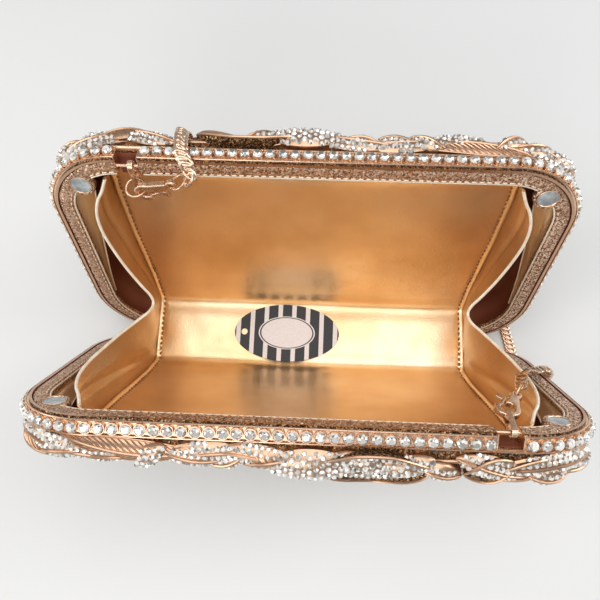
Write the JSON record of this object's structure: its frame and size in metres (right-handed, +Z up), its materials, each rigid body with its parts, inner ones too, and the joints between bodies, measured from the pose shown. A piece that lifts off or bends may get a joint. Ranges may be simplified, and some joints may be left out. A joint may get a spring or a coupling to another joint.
{
  "type": "evening clutch bag",
  "caption": "Open hard-case evening clutch with stone-set rim, cast leaf relief, folding leather lining and clip-on chain.",
  "frame": {"origin": "middle of the open bag's footprint on the floor, under the hinge line", "axes": "+X along the hinge line, +Y from the front half to the rear half, +Z up"},
  "size_m": [0.2085, 0.1577, 0.1134],
  "materials": {
    "rose_gold": "polished rose gold plating",
    "dark_shell": "dark bronze with fine glitter",
    "glitter_fabric": "rose glitter cloth over stiff board",
    "gold_leather": "metallic gold grained leather",
    "crystal": "foil-backed faceted stones",
    "magnet_steel": "nickel-plated magnet discs",
    "card": "plain printed card",
    "chain_gold": "polished rose gold curb chain"
  },
  "bodies": {
    "rear_half": {"rear_shell": "dark_shell", "rear_rim_band": "glitter_fabric", "rear_magnet_left": "magnet_steel", "rear_magnet_right": "magnet_steel", "rear_stone_channel": "rose_gold", "rear_rim_stones_left": "crystal", "rear_rim_stones_right": "crystal", "rear_top_leaves": "rose_gold", "rear_back_leaves": "rose_gold", "rear_lining_panel": "gold_leather", "rear_ring_bar": "rose_gold", "hinge_rivet_rear_1": "rose_gold", "hinge_rivet_rear_2": "rose_gold", "hinge_rivet_rear_3": "rose_gold", "hinge_rivet_rear_4": "rose_gold", "hinge_leaf_rear_left": "rose_gold", "hinge_leaf_rear_right": "rose_gold", "hinge_pin_left": "rose_gold", "hinge_pin_right": "rose_gold", "lining_floor": "gold_leather", "gusset_left": "gold_leather", "gusset_right": "gold_leather", "lining_label": "card", "chain_rear_run": "chain_gold", "chain_coil": "chain_gold", "chain_front_run": "chain_gold", "chain_tie": "card"},
    "front_half": {"front_shell": "dark_shell", "front_rim_band": "glitter_fabric", "front_magnet_left": "magnet_steel", "front_magnet_right": "magnet_steel", "front_stone_channel": "rose_gold", "front_rim_stones_left": "crystal", "front_rim_stones_right": "crystal", "front_top_leaves": "rose_gold", "front_back_leaves": "rose_gold", "front_lining_panel": "gold_leather", "front_ring_bar": "rose_gold", "hinge_rivet_front_1": "rose_gold", "hinge_rivet_front_2": "rose_gold", "hinge_rivet_front_3": "rose_gold", "hinge_rivet_front_4": "rose_gold", "hinge_leaf_front_left": "rose_gold", "hinge_leaf_front_right": "rose_gold"},
    "rear_link": {"rear_ring_link": "rose_gold"},
    "rear_hook": {"rear_ring": "rose_gold", "rear_clasp_body": "rose_gold", "rear_jump_ring": "rose_gold"},
    "rear_gate": {"rear_clasp_trigger": "rose_gold"},
    "front_hook": {"front_ring_link": "rose_gold", "front_clasp_body": "rose_gold", "front_jump_ring": "rose_gold"},
    "front_gate": {"front_clasp_trigger": "rose_gold"}
  },
  "joints": [
    {"name": "mouth_hinge", "type": "hinge", "parent": "rear_half", "child": "front_half", "pos_m": [0, 0, 0.00373], "axis": [-1, 0, 0], "range_deg": [0, 41], "deforming": ["lining_floor", "gusset_left", "gusset_right", "lining_label", "chain_front_run"]},
    {"name": "rear_link_swing", "type": "hinge", "parent": "rear_half", "child": "rear_link", "pos_m": [-0.0655, 0.04443, 0.10633], "axis": [-1, 0, 0], "range_deg": [0, 10], "deforming": ["chain_rear_run"]},
    {"name": "rear_ring_swing", "type": "hinge", "parent": "rear_link", "child": "rear_hook", "pos_m": [-0.0655, 0.04269, 0.09883], "axis": [1, 0, 0], "range_deg": [0, 8], "deforming": ["chain_rear_run"]},
    {"name": "rear_gate_pivot", "type": "hinge", "parent": "rear_hook", "child": "rear_gate", "pos_m": [-0.05449, 0.0376, 0.0996], "axis": [0.0175, 0.9758, -0.2181], "range_deg": [0, 15], "stiffness_Nm_per_rad": 0.02},
    {"name": "front_link_swing", "type": "hinge", "parent": "front_half", "child": "front_hook", "pos_m": [0.0685, -0.04443, 0.10633], "axis": [1, 0, 0], "range_deg": [-5, 5], "deforming": ["chain_front_run"]},
    {"name": "front_gate_pivot", "type": "hinge", "parent": "front_hook", "child": "front_gate", "pos_m": [0.06998, -0.03331, 0.09295], "axis": [0.1032, 0.8174, 0.5668], "range_deg": [0, 15], "stiffness_Nm_per_rad": 0.02}
  ]
}
